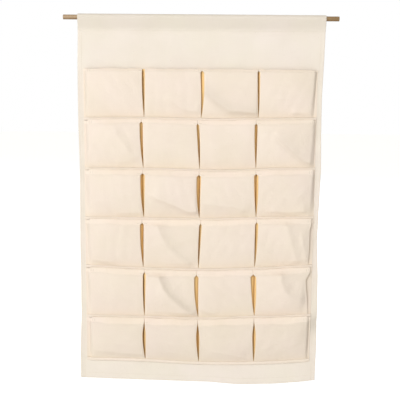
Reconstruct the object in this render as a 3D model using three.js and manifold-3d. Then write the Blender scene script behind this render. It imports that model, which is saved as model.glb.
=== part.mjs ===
// Hanging wall organizer: a canvas panel on a wooden dowel, with six rows of four pleated pockets.
// Millimetres, +Z up. The origin is the middle of the dowel's axis; the front faces -Y, the wall is at +Y.

import * as THREE from "three";
import { mergeVertices } from "three/addons/utils/BufferGeometryUtils.js";
import Module from "manifold-3d";

const wasm = await Module();
wasm.setup();

// Driving dimensions

// The dowel is bare at both ends, where two hooks hold it.
const dowel_diameter = 12;
const dowel_stub = 34.5;
const dowel_end_bevel = 0.8;

// The canvas is one weight throughout, and neighbouring pieces lie a small gap apart.
const cloth_thickness = 1.2;
const piece_gap = 0.3;
const panel_width = 620;
const panel_drop = 942;
const side_hem = 12;
const bottom_hem = 16;

// The bottom edge hangs lower between its corners, and the rows above it follow in part.
const edge_sag = 13;
const sag_growth = 1.5;
const sag_lean = 1.6;

// The sleeve wraps the dowel loosely, and its two layers are sewn together in a band.
const sleeve_slack = 0.9;
const sleeve_drop = 34;
const sleeve_band = 5;

// Rows and columns of pockets share out what the panel's margins leave.
// Each row's mouths stand in front of the lower part of the foot strip above them.
const rows = 6;
const columns = 4;
const first_mouth_drop = 124;
const side_margin = 20;
const bottom_margin = 47.5;
const mouth_overlap = 2.5;
const row_pitch = (panel_drop - first_mouth_drop - bottom_margin - mouth_overlap) / rows;
const column_pitch = (panel_width - 2 * side_margin) / columns;

// Each row is one strip of canvas, sewn down along its foot and on the lines between pockets.
const seam_strip = 8;
const seam_layers = 3;
const end_flange = 5;
const pleat_fold = 16;

// A pocket's front leans out to its mouth, with a belly below, and the hem along its top leans back again.
const mouth_depth = 13.5;
const belly_depth = 6;
const hem_height = 13;
const hem_lean = 4;
const end_inset = 10;
const edge_ease_share = 0.15;
const depth_shares = [0.88, 0.92, 1.12, 0.92, 1, 1.08];
const end_inset_shares = [[0.4, 1.2], [0.6, 0.9], [0.9, 0.4], [1, 0.6], [1, 0.7], [1, 0.5]];

// The slits between the fronts lean, bow and swell, each its own way.
const slit_foot = 1;
const slit_width = 10;
const slit_play = 10;
const slit_width_shares = [
  [0.6, 0.75, 0.5], [0.65, 0.55, 0.6], [0.95, 0.95, 0.95], [0.8, 0.5, 0.65], [0.6, 0.95, 1.25], [0.8, 0.8, 0.85],
];
const slit_mouth_shares = [
  [0.2, 0.4, 0.1], [-0.35, -0.6, -0.3], [0, -0.1, -0.1], [-0.2, 0.45, 0.35], [0.4, -0.55, -0.4], [0.35, -0.15, 0.1],
];
const slit_foot_shares = [
  [0.3, 0.3, 0.25], [0.1, 0, -0.1], [0.2, 0.05, 0.15], [0.05, -0.1, 0.05], [0.3, -0.05, 0.2], [0.5, 0.2, 0.25],
];
const slit_bow_shares = [
  [0, 0.27, 0], [-0.1, 0.07, -0.1], [-0.07, -0.2, 0], [-0.1, -0.07, 0], [0, -0.23, 0], [-0.1, -0.08, 0],
];

// Main folds of the fronts: row, column, start and end as shares of the front, and height share
const crease_height = 4;
const crease_width = 15;
const crease_shares = [
  [0, 1, [0.35, 0.35], [0.7, 0.15], 0.5],
  [0, 2, [0.05, 0.5], [0.58, 0.08], 1],
  [1, 0, [0.5, 0.95], [0.88, 0.2], 0.7],
  [1, 3, [0.33, 0.62], [0.92, 0.1], 0.9],
  [2, 1, [0.2, 0.45], [0.9, 0.14], 1],
  [3, 1, [0.3, 0.78], [0.94, 0.06], 0.8],
  [3, 3, [0.5, 0.72], [0.88, 0.08], 0.8],
  [4, 1, [0.2, 0.95], [0.94, 0.06], 1.2],
  [4, 3, [0.44, 0.95], [0.58, 0.48], 1.1],
  [4, 3, [0.58, 0.48], [0.85, 0.34], 1.1],
  [5, 2, [0.2, 0.2], [0.6, 0.12], 0.4],
];

// Seams are sewn with one thick thread.
const thread_width = 0.8;
const thread_thickness = 0.5;
const thread_end_inset = 2;

// Counts that set how finely the curves are cut
const dowel_sides = 24;
const sleeve_arc_steps = 20;
const panel_steps = 14;
const front_steps = 6;
const strip_steps = 16;

// Materials

const canvas = new THREE.MeshStandardMaterial({ color: 0xf2e6d3, roughness: 0.92, metalness: 0 });
const folded_canvas = new THREE.MeshStandardMaterial({ color: 0xe6d3b6, roughness: 0.92, metalness: 0 });
const pocket_canvas = new THREE.MeshStandardMaterial({ color: 0xf5e6d4, roughness: 0.92, metalness: 0 });
const thread = new THREE.MeshStandardMaterial({ color: 0xdccaa6, roughness: 0.8, metalness: 0 });
const wood = new THREE.MeshStandardMaterial({ color: 0xb38d5c, roughness: 0.6, metalness: 0 });

// Places that the pieces share

const mix = THREE.MathUtils.lerp;
const front_height = row_pitch + mouth_overlap - seam_strip;
const mouth_z = (row) => -(first_mouth_drop + row * row_pitch);
const seam_z = (row) => mouth_z(row) - front_height;
const line_x = (line) => (line - columns / 2) * column_pitch;
const bottom_z = -panel_drop;
const panel_face_depth = cloth_thickness / 2;
const strip_back_depth = panel_face_depth + piece_gap;
const pleat_root_depth = strip_back_depth + cloth_thickness / 2;
const foot_depth = strip_back_depth + (seam_layers + 1 / 2) * cloth_thickness + piece_gap;
const strip_face_depth = foot_depth + cloth_thickness / 2;

// Height of a point of the cloth once it hangs: nothing moves above the top row's mouths.
function hang(x, z) {
  const down_share = THREE.MathUtils.clamp((mouth_z(0) - z) / (mouth_z(0) - bottom_z), 0, 1);
  const across_share = THREE.MathUtils.clamp(x / panel_width + 1 / 2, 0, 1);
  return z - edge_sag * down_share ** sag_growth * Math.sin(Math.PI * across_share ** sag_lean);
}

// Geometry helpers

// A closed sheet between two faces, each a list of levels of points, foot first, left to right
function closed_sheet(near, far) {
  const levels = near.length;
  const across = near[0].length;
  const at = (face, level, step) => (face * levels + level) * across + step;
  const index = [];
  const quad = (a, b, c, d) => index.push(a, b, c, a, c, d);
  for (let i = 0; i < levels - 1; i++) {
    for (let j = 0; j < across - 1; j++) {
      quad(at(0, i, j), at(0, i, j + 1), at(0, i + 1, j + 1), at(0, i + 1, j));
      quad(at(1, i, j), at(1, i + 1, j), at(1, i + 1, j + 1), at(1, i, j + 1));
    }
    const end = across - 1;
    quad(at(0, i, 0), at(0, i + 1, 0), at(1, i + 1, 0), at(1, i, 0));
    quad(at(0, i, end), at(1, i, end), at(1, i + 1, end), at(0, i + 1, end));
  }
  const top = levels - 1;
  for (let j = 0; j < across - 1; j++) {
    quad(at(0, 0, j), at(1, 0, j), at(1, 0, j + 1), at(0, 0, j + 1));
    quad(at(0, top, j), at(0, top, j + 1), at(1, top, j + 1), at(1, top, j));
  }
  const positions = [...near, ...far].flat().flatMap((point) => point);
  const geometry = new THREE.BufferGeometry();
  geometry.setAttribute("position", new THREE.Float32BufferAttribute(positions, 3));
  geometry.setIndex(index);
  return geometry;
}

// A level of a sheet from its middle line, given as [x, depth] pairs, with one thickness in depth
function level_face(line, z, offset) {
  return line.map(([x, depth]) => [x, -(depth + offset), hang(x, z)]);
}

// A sheet whose levels are { z, line }, centred on each line
function cloth_sheet(levels, thickness = cloth_thickness) {
  const near = levels.map(({ z, line }) => level_face(line, z, thickness / 2));
  const far = levels.map(({ z, line }) => level_face(line, z, -thickness / 2));
  return closed_sheet(near, far);
}

function to_solid(geometry) {
  const bare = geometry.clone();
  bare.deleteAttribute("normal");
  bare.deleteAttribute("uv");
  const merged = mergeVertices(bare);
  return new wasm.Manifold(new wasm.Mesh({
    numProp: 3,
    vertProperties: new Float32Array(merged.attributes.position.array),
    triVerts: new Uint32Array(merged.index.array),
  }));
}

function joined(geometries) {
  const solid = geometries.map(to_solid).reduce((sum, piece) => sum.add(piece));
  const mesh = solid.getMesh();
  const geometry = new THREE.BufferGeometry();
  geometry.setAttribute("position", new THREE.Float32BufferAttribute(mesh.vertProperties, 3));
  geometry.setIndex(new THREE.Uint32BufferAttribute(mesh.triVerts, 1));
  return geometry;
}

function even_shares(steps) {
  return Array.from({ length: steps + 1 }, (_, step) => step / steps);
}

const organizer = new THREE.Group();

function add(name, geometry, material, parent = organizer) {
  geometry.computeVertexNormals();
  const mesh = new THREE.Mesh(geometry, material);
  mesh.name = name;
  parent.add(mesh);
  return mesh;
}

// Dowel: a round stick along X with eased ends

function dowel_geometry() {
  const radius = dowel_diameter / 2;
  const half = panel_width / 2 + dowel_stub;
  const profile = [
    new THREE.Vector2(0, -half),
    new THREE.Vector2(radius - dowel_end_bevel, -half),
    new THREE.Vector2(radius, -half + dowel_end_bevel),
    new THREE.Vector2(radius, half - dowel_end_bevel),
    new THREE.Vector2(radius - dowel_end_bevel, half),
    new THREE.Vector2(0, half),
  ];
  return new THREE.LatheGeometry(profile, dowel_sides).rotateZ(-Math.PI / 2);
}

add("dowel", dowel_geometry(), wood);

// Sleeve: the top of the canvas folded round the dowel and sewn to itself below it

// Points of a drop shape: an arc over the top, and straight sides down to the foot points
function drop_outline(radius, foot_half_width, foot_drop) {
  const reach = Math.hypot(foot_half_width, foot_drop);
  const touch = Math.atan2(-foot_drop, foot_half_width) + Math.acos(radius / reach);
  const points = even_shares(sleeve_arc_steps).map((share) => {
    const angle = mix(touch, Math.PI - touch, share);
    return new THREE.Vector2(radius * Math.cos(angle), radius * Math.sin(angle));
  });
  return points;
}

function sleeve_geometry() {
  const inner_radius = dowel_diameter / 2 + sleeve_slack;
  const band_top = sleeve_drop - sleeve_band;
  const outer = drop_outline(inner_radius + cloth_thickness, cloth_thickness, band_top);
  outer.push(new THREE.Vector2(-cloth_thickness, -band_top));
  outer.push(new THREE.Vector2(-cloth_thickness, -sleeve_drop));
  outer.push(new THREE.Vector2(cloth_thickness, -sleeve_drop));
  outer.push(new THREE.Vector2(cloth_thickness, -band_top));
  const shape = new THREE.Shape(outer);
  const inner = drop_outline(inner_radius, 0, band_top);
  inner.push(new THREE.Vector2(0, -band_top));
  shape.holes.push(new THREE.Path(inner));
  const geometry = new THREE.ExtrudeGeometry(shape, { depth: panel_width, bevelEnabled: false });
  const to_frame = new THREE.Matrix4().makeBasis(
    new THREE.Vector3(0, 1, 0), new THREE.Vector3(0, 0, 1), new THREE.Vector3(1, 0, 0),
  );
  return geometry.applyMatrix4(to_frame).translate(-panel_width / 2, 0, 0);
}

// A straight thread along X on a face at the given depth
function straight_thread(z, face_depth) {
  const near_depth = face_depth + piece_gap + thread_thickness;
  const length = panel_width - 2 * thread_end_inset;
  const bar = new THREE.BoxGeometry(length, thread_thickness, thread_width);
  return bar.translate(0, -(near_depth - thread_thickness / 2), z);
}

add("sleeve", sleeve_geometry(), canvas);
add("sleeve_seam_thread", straight_thread(-(sleeve_drop - sleeve_band / 2), cloth_thickness), thread);

// Back panel: one layer of canvas with hems turned to the back at its sides and foot, and a round top edge

function back_panel_geometry() {
  const half = panel_width / 2;
  const round = cloth_thickness / 2;
  const pivot_z = -(sleeve_drop + piece_gap + round);
  const round_share = Math.SQRT1_2;
  const inner = half - side_hem;
  const flat = inner - cloth_thickness;
  const flat_x = even_shares(panel_steps).map((share) => mix(-flat, flat, share));
  const across = [-half, -inner, ...flat_x, inner, half];
  const levels = [
    { z: bottom_z, hemmed: true, half_thickness: round },
    { z: bottom_z + bottom_hem, hemmed: true, half_thickness: round },
    { z: bottom_z + bottom_hem + cloth_thickness, hemmed: false, half_thickness: round },
    ...even_shares(rows).map((share) => ({
      z: mix(seam_z(rows - 1), mouth_z(0), share), hemmed: false, half_thickness: round,
    })),
    { z: pivot_z, hemmed: false, half_thickness: round },
    { z: pivot_z + round * round_share, hemmed: false, half_thickness: round * round_share, top: true },
    { z: pivot_z + round, hemmed: false, half_thickness: round * (1 - round_share), top: true },
  ];
  const near = levels.map(({ z, half_thickness }) => across.map((x) => [x, -half_thickness, hang(x, z)]));
  const far = levels.map(({ z, hemmed, half_thickness, top }) => across.map((x) => {
    const in_hem = !top && z !== pivot_z && (hemmed || Math.abs(x) >= inner);
    return [x, half_thickness + (in_hem ? cloth_thickness : 0), hang(x, z)];
  }));
  return closed_sheet(near, far);
}

add("back_panel", back_panel_geometry(), canvas);

// Threads of the hems, on the panel's front face

function hem_thread(z) {
  const half = panel_width / 2 - side_hem - thread_end_inset;
  const depth = panel_face_depth + piece_gap + thread_thickness / 2;
  const line = even_shares(strip_steps).map((share) => [mix(-half, half, share), depth]);
  const levels = [z - thread_width / 2, z + thread_width / 2].map((height) => ({ z: height, line }));
  return cloth_sheet(levels, thread_thickness);
}

function side_thread(side) {
  const top = -(sleeve_drop + piece_gap + cloth_thickness + thread_end_inset);
  const foot = bottom_z + thread_end_inset;
  const bar = new THREE.BoxGeometry(thread_width, thread_thickness, top - foot);
  const x = side * (panel_width / 2 - side_hem + thread_end_inset);
  return bar.translate(x, -(panel_face_depth + piece_gap + thread_thickness / 2), (top + foot) / 2);
}

add("bottom_hem_thread", hem_thread(bottom_z + bottom_hem - thread_end_inset), thread);
add("left_hem_thread", side_thread(-1), thread);
add("right_hem_thread", side_thread(1), thread);

// Pocket fronts: where each one's edges and surface lie, by shares of its width and height

const hem_share = 1 - hem_height / front_height;
const hem_foot_share = hem_share - cloth_thickness / front_height;

// How far a slit is open at a share of its height: it starts from a point and closes again at the hem
function slit_open_share(height_share) {
  const rise_share = 1 - (1 - height_share) ** 2.5;
  return rise_share * (1 - height_share ** 12);
}

// Edge of the front that lies on the given side of a line between pockets
function front_edge_x(row, line, side, height_share) {
  if (line === 0) return line_x(line) + end_inset * end_inset_shares[row][0];
  if (line === columns) return line_x(line) - end_inset * end_inset_shares[row][1];
  const slit = line - 1;
  const lean_share = mix(slit_foot_shares[row][slit], slit_mouth_shares[row][slit], height_share);
  const bow_share = slit_bow_shares[row][slit] * Math.sin(Math.PI * height_share);
  const open = slit_width * slit_width_shares[row][slit] * slit_open_share(height_share);
  return line_x(line) + slit_play * (lean_share + bow_share) + side * (slit_foot + open) / 2;
}

function crease_depth(row, column, width_share, height_share) {
  const fade_share = (1 - (2 * width_share - 1) ** 6) * Math.sin(Math.PI * height_share) ** 0.5;
  const point = new THREE.Vector3(width_share * column_pitch, height_share * front_height, 0);
  const nearest = new THREE.Vector3();
  let depth = 0;
  for (const [crease_row, crease_column, from, to, share] of crease_shares) {
    if (crease_row !== row || crease_column !== column) continue;
    const start = new THREE.Vector3(from[0] * column_pitch, from[1] * front_height, 0);
    const stop = new THREE.Vector3(to[0] * column_pitch, to[1] * front_height, 0);
    new THREE.Line3(start, stop).closestPointToPoint(point, true, nearest);
    depth += crease_height * share * Math.exp(-((nearest.distanceTo(point) / crease_width) ** 2));
  }
  return depth * fade_share;
}

function front_depth(row, column, width_share, height_share) {
  const lean_share = 1 - (1 - height_share) ** 2.2;
  const belly_share = Math.sin(Math.PI * height_share ** 0.6);
  const ease_share = 1 - edge_ease_share * (2 * width_share - 1) ** 4;
  const out = (mouth_depth * lean_share + belly_depth * belly_share) * depth_shares[row] * ease_share;
  const back = hem_lean * Math.max(0, (height_share - hem_share) / (1 - hem_share));
  return foot_depth + out - back + crease_depth(row, column, width_share, height_share);
}

const front_foot_z = (row) => seam_z(row) + piece_gap;
const front_levels = [0, 0.08, 0.22, 0.42, 0.65, hem_foot_share, hem_share, 1];

function front_geometry(row, column) {
  const face = (offset) => front_levels.map((height_share) => {
    const z = mix(front_foot_z(row), mouth_z(row), height_share);
    const left = front_edge_x(row, column, 1, height_share);
    const right = front_edge_x(row, column + 1, -1, height_share);
    return even_shares(front_steps).map((width_share) => {
      const x = mix(left, right, width_share);
      const depth = front_depth(row, column, width_share, height_share);
      return [x, -(depth + offset(height_share)), hang(x, z)];
    });
  });
  const half = cloth_thickness / 2;
  const hem_layer = (height_share) => (height_share >= hem_share ? cloth_thickness : 0);
  return closed_sheet(face(() => half), face((height_share) => -half - hem_layer(height_share)));
}

// Pleats: the folded cloth between a row's fronts and the panel, all joined by the sewn foot strip

// Their tops lie just below the foot strip of the row above.
const pleat_top_share = 1 - (mouth_overlap + piece_gap) / front_height;
const pleat_levels = [0, 0.25, 0.6, hem_foot_share, pleat_top_share];

// Depth of a pleat's outer end, just behind the front's edge and its hem
function pleat_end_depth(row, column, width_share, height_share) {
  const hem_layer = height_share >= hem_foot_share ? cloth_thickness : 0;
  return front_depth(row, column, width_share, height_share) - hem_layer - cloth_thickness - piece_gap;
}

// A folded leg between two places, each a function of the height share that gives [x, depth]
function pleat_leg(row, places) {
  const at_share = (share, z) => ({ z, line: places.map((place) => place(share)) });
  const levels = pleat_levels.map((share) => at_share(share, mix(seam_z(row), mouth_z(row), share)));
  return cloth_sheet([at_share(0, seam_z(row) - seam_strip / 2), ...levels]);
}

// Outer end and inner fold of the pleat on one side of a line
function pleat_places(row, line, side) {
  const column = side > 0 ? line : line - 1;
  const width_share = side > 0 ? 0 : 1;
  const end = (share) => {
    const x = front_edge_x(row, line, side, share);
    return [x, pleat_end_depth(row, column, width_share, share)];
  };
  const fold = (share) => {
    const [x, depth] = end(share);
    return [x + side * pleat_fold, (depth + pleat_root_depth) / 2];
  };
  return { end, fold };
}

function foot_strip(row) {
  const half = line_x(columns) + end_flange;
  const depth = (strip_back_depth + strip_face_depth) / 2;
  const line = even_shares(strip_steps).map((share) => [mix(-half, half, share), depth]);
  const levels = [seam_z(row) - seam_strip, seam_z(row)].map((z) => ({ z, line }));
  return cloth_sheet(levels, strip_face_depth - strip_back_depth);
}

// At both ends of a row the strip slopes straight back to the panel; at each line between pockets it is folded.
function row_pleats(row) {
  const pieces = [foot_strip(row)];
  const root_at = (x) => () => [x, pleat_root_depth];
  pieces.push(pleat_leg(row, [root_at(line_x(0) - end_flange), pleat_places(row, 0, 1).end]));
  for (let line = 1; line < columns; line++) {
    const left = pleat_places(row, line, -1);
    const right = pleat_places(row, line, 1);
    pieces.push(pleat_leg(row, [left.fold, left.end]));
    pieces.push(pleat_leg(row, [right.end, right.fold]));
    pieces.push(pleat_leg(row, [left.fold, root_at(line_x(line)), right.fold]));
  }
  pieces.push(pleat_leg(row, [pleat_places(row, columns, -1).end, root_at(line_x(columns) + end_flange)]));
  return joined(pieces);
}

// Thread along the middle of a row's foot strip
function row_thread(row) {
  const half = line_x(columns) + end_flange - thread_end_inset;
  const depth = strip_face_depth + piece_gap + thread_thickness / 2;
  const line = even_shares(strip_steps).map((share) => [mix(-half, half, share), depth]);
  const middle = seam_z(row) - seam_strip / 2;
  const levels = [middle - thread_width / 2, middle + thread_width / 2].map((z) => ({ z, line }));
  return cloth_sheet(levels, thread_thickness);
}

for (let row = 0; row < rows; row++) {
  const number = row + 1;
  const group = new THREE.Group();
  add(`row_${number}_pleats`, row_pleats(row), folded_canvas, group);
  add(`row_${number}_seam_thread`, row_thread(row), thread, group);
  for (let column = 0; column < columns; column++) {
    add(`row_${number}_pocket_${column + 1}_front`, front_geometry(row, column), pocket_canvas, group);
  }
  organizer.add(group);
}

export default organizer;
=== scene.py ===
import math

import bmesh
import bpy
import numpy as np
from mathutils import Matrix, Vector


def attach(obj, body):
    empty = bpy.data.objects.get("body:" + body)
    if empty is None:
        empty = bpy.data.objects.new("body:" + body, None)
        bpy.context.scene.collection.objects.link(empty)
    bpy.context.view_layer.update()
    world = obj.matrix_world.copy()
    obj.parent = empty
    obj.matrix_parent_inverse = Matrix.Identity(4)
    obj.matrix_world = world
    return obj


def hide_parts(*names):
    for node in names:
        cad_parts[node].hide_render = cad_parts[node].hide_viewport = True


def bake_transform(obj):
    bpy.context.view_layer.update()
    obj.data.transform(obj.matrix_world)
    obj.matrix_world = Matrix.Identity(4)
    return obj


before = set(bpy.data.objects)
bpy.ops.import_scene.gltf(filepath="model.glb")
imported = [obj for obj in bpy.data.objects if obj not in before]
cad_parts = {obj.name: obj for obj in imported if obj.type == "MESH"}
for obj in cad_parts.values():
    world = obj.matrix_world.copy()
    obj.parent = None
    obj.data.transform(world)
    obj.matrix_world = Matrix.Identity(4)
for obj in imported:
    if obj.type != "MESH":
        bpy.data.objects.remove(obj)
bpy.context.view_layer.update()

# Dowel: a sanded pine stick of 12 mm, sawn square and just eased at its ends.
# It lies loose in the sleeve and shows bare on both sides, where two hooks would hold it.
dowel_radius = 0.006
dowel_length = 0.689
dowel_end_bevel = 0.0008
dowel_rings = 30

bpy.ops.object.select_all(action="DESELECT")
bpy.ops.mesh.primitive_cylinder_add(vertices=48, radius=dowel_radius, depth=dowel_length, rotation=(0, math.pi / 2, 0))
dowel = bpy.context.object
dowel.name = "dowel_stick"
bpy.ops.object.transform_apply()
bpy.ops.object.mode_set(mode="EDIT")
bpy.ops.mesh.select_mode(type="EDGE")
shape = bmesh.from_edit_mesh(dowel.data)
for edge in shape.edges:
    edge.select = abs(edge.verts[0].co.x + edge.verts[1].co.x) > dowel_length - 1e-5
bmesh.update_edit_mesh(dowel.data)
bpy.ops.mesh.bevel(offset=dowel_end_bevel, segments=3)
# Rings along the stick keep the soft shading of its eased ends off its length
shape = bmesh.from_edit_mesh(dowel.data)
for edge in shape.edges:
    edge.select = edge.calc_length() > dowel_length / 2
bmesh.update_edit_mesh(dowel.data)
bpy.ops.mesh.subdivide(number_cuts=dowel_rings)
bpy.ops.object.mode_set(mode="OBJECT")
bpy.ops.object.shade_smooth_by_angle(angle=math.radians(40))


def put(tree, kind, inputs=None, **settings):
    """Adds a node to a tree, with its settings, and sets or links its inputs."""
    made = tree.nodes.new(kind)
    for key, value in settings.items():
        setattr(made, key, value)
    for key, value in (inputs or {}).items():
        if isinstance(value, bpy.types.NodeSocket):
            tree.links.new(value, made.inputs[key])
        else:
            made.inputs[key].default_value = value
    return made


def work_out(tree, operation, *values):
    """A Math node's result."""
    return put(tree, "ShaderNodeMath", dict(enumerate(values)), operation=operation).outputs[0]


def blend_colours(tree, share, first, second):
    """A colour between two others."""
    return put(tree, "ShaderNodeMix", {0: share, 6: first, 7: second}, data_type="RGBA").outputs[2]


def noise(tree, place, scale, detail, output="Fac", distortion=0.0):
    """Noise at a place, of a scale and a detail."""
    given = {"Vector": place, "Scale": scale, "Detail": detail, "Distortion": distortion}
    return put(tree, "ShaderNodeTexNoise", given).outputs[output]


def start_material(name, roughness, specular):
    """A material with its Principled shader, ready for its colour and normal."""
    material = bpy.data.materials.new(name)
    material.use_nodes = True
    shader = material.node_tree.nodes["Principled BSDF"]
    shader.inputs["Roughness"].default_value = roughness
    shader.inputs["Specular IOR Level"].default_value = specular
    return material, material.node_tree, shader


# Pine: rings about a heart beside the stick's axis, fibres along it, and uneven age, with painted shade along its top
# and bottom edges and towards its right end
wood_light = (0.5, 0.36, 0.225, 1)
wood_dark = (0.27, 0.165, 0.08, 1)
wood_aged_and_shaded = (0.24, 0.145, 0.06, 1)
ring_pitch = 0.0021
ring_wander = 0.006
heart_place = (0, 0.02, 0.0005)
fibre_scale = (9, 900, 900)
rim_shade_edges = 13000.0
rim_shade_below = -50.0
pine, tree, shader = start_material("sanded_pine", roughness=0.62, specular=0.3)
place = put(tree, "ShaderNodeTexCoord").outputs["Object"]
wander = noise(tree, place, 4.0, 2.0)
heart = put(tree, "ShaderNodeMapping", {"Vector": place, "Location": heart_place, "Scale": (0.02, 1, 1)})
from_heart = put(tree, "ShaderNodeVectorMath", {0: heart.outputs[0]}, operation="LENGTH").outputs["Value"]
bent = work_out(tree, "MULTIPLY_ADD", wander, ring_wander, from_heart)
ring_wave = work_out(tree, "SINE", work_out(tree, "MULTIPLY", bent, 2 * math.pi / ring_pitch))
fibre = noise(tree, put(tree, "ShaderNodeMapping", {"Vector": place, "Scale": fibre_scale}).outputs[0], 1.0, 3.0)
sides = put(tree, "ShaderNodeSeparateXYZ", {0: place})
high = sides.outputs["Z"]
# Painted shade: darker along the stick's top and bottom edges, most along its bottom; it rides on the fibre streaks and
# rings
rim_shade = work_out(tree, "MULTIPLY", high, work_out(tree, "MULTIPLY_ADD", high, rim_shade_edges, rim_shade_below))
streaks = work_out(tree, "MULTIPLY_ADD", fibre, 1.1, work_out(tree, "ADD", rim_shade, -0.25))
rings_fibres_and_shade = work_out(tree, "MULTIPLY_ADD", ring_wave, 0.2, streaks)
grain_and_shade = blend_colours(tree, rings_fibres_and_shade, wood_light, wood_dark)
# Painted shade: darker towards the right end, mixed with uneven age
age_and_end_shade = work_out(tree, "MULTIPLY_ADD", sides.outputs["X"], 1.2, work_out(tree, "MULTIPLY", wander, 0.6))
tree.links.new(blend_colours(tree, age_and_end_shade, grain_and_shade, wood_aged_and_shaded), shader.inputs["Base Color"])
dents = put(tree, "ShaderNodeBump", {"Height": rings_fibres_and_shade, "Strength": 0.5, "Distance": 0.0001})
tree.links.new(dents.outputs[0], shader.inputs["Normal"])
dowel.data.materials.append(pine)
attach(dowel, "dowel")
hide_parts("dowel")

# Canvas panel and sleeve: one cut of undyed cotton canvas. Its top is folded back over the dowel and sewn down
# behind, its sides and foot are turned to the back, and it hangs a little lower in the middle of its foot.
panel_width = 0.62
panel_drop = 0.942
side_hem = 0.012
bottom_hem = 0.016
cloth_thickness = 0.0011
layer_gap = 0.0012
first_mouth_drop = 0.124
edge_sag = 0.013
sleeve_radius = 0.0082
sleeve_drop = 0.034
sleeve_band = 0.005
panel_top = -0.0372
panel_levels = 118
panel_columns = 90
lap_steps = 22

# Soft waves of the loose cloth: above the pockets, along the foot, on the side margins and at the sleeve's seam
header_sway = 0.0011
foot_sway = 0.0012
margin_sway = 0.0006
pucker_depth = 0.00025

# The right margin curls back beside the lowest row's mouth
curl_depth = 0.005
curl_start = 0.284
curl_width = 0.021
curl_height = -0.792
curl_reach = 0.026

# Where the hanging edges leave the straight cut: height, left side, right side, and along the foot
edge_heights = [-0.928, -0.861, -0.762, -0.664, -0.568, -0.473, -0.379, -0.287, -0.196, -0.106, -0.017]
left_edge_moves = [-0.0028, -0.0027, 0.0013, 0.0015, 0.0006, 0.0016, 0.0023, 0.0002, -0.0003, 0.0001, 0.0023]
right_edge_moves = [0.001, 0.0019, 0.0018, 0.0007, -0.0041, -0.0018, 0.0004, -0.0022, -0.0031, -0.0004, 0.0013]
foot_places = [-0.31, -0.246, -0.139, -0.085, 0.022, 0.049, 0.075, 0.102, 0.156, 0.262, 0.31]
foot_moves = [-0.0005, -0.0008, 0.0006, 0.0019, 0.0041, 0.003, 0.001, -0.001, -0.0006, -0.0008, 0]

# How far the cloth has crept up or down: each row's line, and its moves from the left to the right
creep_places = [-0.26, -0.19, -0.106, -0.036, 0.046, 0.113, 0.188, 0.25]
creep_lines = {
    -0.942: [0] * 8,
    -0.8865: [0.0027, 0.0042, 0.005, 0.0043, 0.0057, 0.007, 0.008, 0.008],
    -0.764: [-0.008, -0.0069, -0.0055, -0.0054, -0.0023, 0.002, 0.0023, 0.002],
    -0.636: [-0.0016, -0.0043, -0.0042, -0.0034, -0.0019, 0.0016, 0.0035, 0.0057],
    -0.508: [-0.0018, -0.0014, -0.0005, 0.0002, 0.0014, 0.0048, 0.006, 0.0058],
    -0.38: [-0.0012, -0.001, -0.0003, -0.0015, -0.0026, -0.0005, 0.0035, 0.0035],
    -0.252: [-0.0018, -0.0003, 0.0004, -0.0009, -0.002, 0.0003, 0.0007, 0.0022],
    -0.124: [0] * 8,
}


def ramp(value, start, reach):
    """A share that goes from 0 at the start to 1 at the reach beyond it."""
    return np.clip((value - start) / reach, 0, 1)


def soft_ramp(value, start, reach):
    """A ramp that starts and ends softly."""
    share = ramp(value, start, reach)
    return share * share * (3 - 2 * share)


def hang(x, z):
    """Height of a point of the cloth once it hangs."""
    heights = list(creep_lines)
    creep = 0
    for height, moves in creep_lines.items():
        near = np.interp(z, heights, np.array(heights) == height)
        creep = creep + near * np.interp(x, creep_places, moves)
    down = ramp(z, -first_mouth_drop, first_mouth_drop - panel_drop)
    across = np.clip(x / panel_width + 0.5, 0, 1)
    return z + creep - edge_sag * down**1.5 * np.sin(np.pi * across**1.6)


def ripple(x, z, lengths, seed):
    """A soft uneven wave between about -1 and 1, from plane waves of the given lengths."""
    chance = np.random.default_rng(seed)
    total = np.zeros(np.broadcast(x, z).shape)
    for length in lengths:
        turn, phase = chance.uniform(0, 2 * np.pi, 2)
        bend = 0.35 * np.sin((x * np.sin(turn) - z * np.cos(turn)) * 2 * np.pi / (length * 2.3) + phase)
        total += np.sin((x * np.cos(turn) + z * np.sin(turn)) * 2 * np.pi / length + phase + bend)
    return total / len(lengths)


def distance_along(points):
    """How far each of a line's points lies from its start."""
    return np.concatenate([[0], np.cumsum(np.linalg.norm(np.diff(points, axis=0), axis=1))])


def edge_share(x):
    """How much of its edge's wander a place across the panel takes."""
    return ramp(np.abs(x), 0.29, 0.02)


def curl_share(x, z):
    """How far the right margin has curled back, as a share of the most."""
    return ramp(x, curl_start, curl_width) ** 1.5 * np.exp(-((np.abs(z - curl_height) / curl_reach) ** 2.5))


def foot_wave(x, z):
    """How far the panel's foot sways back and forth."""
    return foot_sway * ripple(x, z, [0.12, 0.07, 0.19], 5)


def add_object(name, data):
    """An object for a mesh, a lamp or a camera, selected by itself."""
    added = bpy.data.objects.new(name, data)
    bpy.context.collection.objects.link(added)
    bpy.ops.object.select_all(action="DESELECT")
    added.select_set(True)
    bpy.context.view_layer.objects.active = added
    return added


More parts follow.
